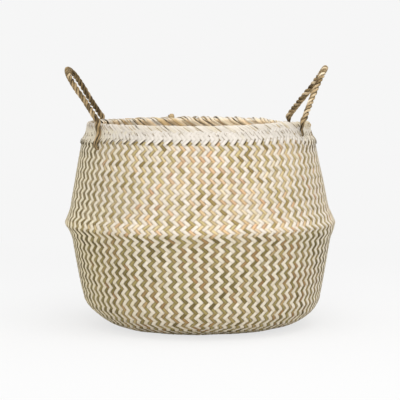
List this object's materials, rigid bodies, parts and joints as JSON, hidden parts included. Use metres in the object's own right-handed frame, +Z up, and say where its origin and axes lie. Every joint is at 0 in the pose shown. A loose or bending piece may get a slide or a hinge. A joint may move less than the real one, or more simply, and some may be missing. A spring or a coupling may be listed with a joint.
{
  "type": "seagrass basket",
  "caption": "Round plaited seagrass belly basket with a folding upper wall, a stiff wrapped rim and twisted rope handles, for storage or a plant pot.",
  "frame": {"origin": "centre of the underside, on the surface that the basket stands on", "axes": "+Z up, -Y towards the front of the basket, +X to the right, with a handle on each side along X"},
  "size_m": [0.4198, 0.4198, 0.4011],
  "materials": {
    "bleached_seagrass": "matte",
    "natural_seagrass": "matte",
    "seagrass_rope": "matte"
  },
  "bodies": {
    "shell": {"base_mat": "natural_seagrass", "heel": "natural_seagrass", "lower_wall": "natural_seagrass"},
    "collar": {"upper_wall": "natural_seagrass", "border_band": "bleached_seagrass", "rim_wrap": "bleached_seagrass", "left_front_rope_tail": "seagrass_rope", "left_front_knot": "seagrass_rope", "left_back_rope_tail": "seagrass_rope", "left_back_knot": "seagrass_rope", "right_front_rope_tail": "seagrass_rope", "right_front_knot": "seagrass_rope", "right_back_rope_tail": "seagrass_rope", "right_back_knot": "seagrass_rope"},
    "left_handle": {"left_handle_loop": "seagrass_rope"},
    "right_handle": {"right_handle_loop": "seagrass_rope"}
  },
  "joints": [
    {"name": "collar_push", "type": "slide", "parent": "shell", "child": "collar", "axis": [0, 0, 1], "range_m": [-0.15, 0], "deforming": ["upper_wall"]},
    {"name": "left_handle_swing", "type": "hinge", "parent": "collar", "child": "left_handle", "pos_m": [-0.15274, -0.00267, 0.318], "axis": [0.0175, -0.9998, 0], "range_deg": [-102, 54]},
    {"name": "right_handle_swing", "type": "hinge", "parent": "collar", "child": "right_handle", "pos_m": [0.14808, 0.00698, 0.318], "axis": [-0.0471, 0.9989, 0], "range_deg": [-102, 54]}
  ]
}
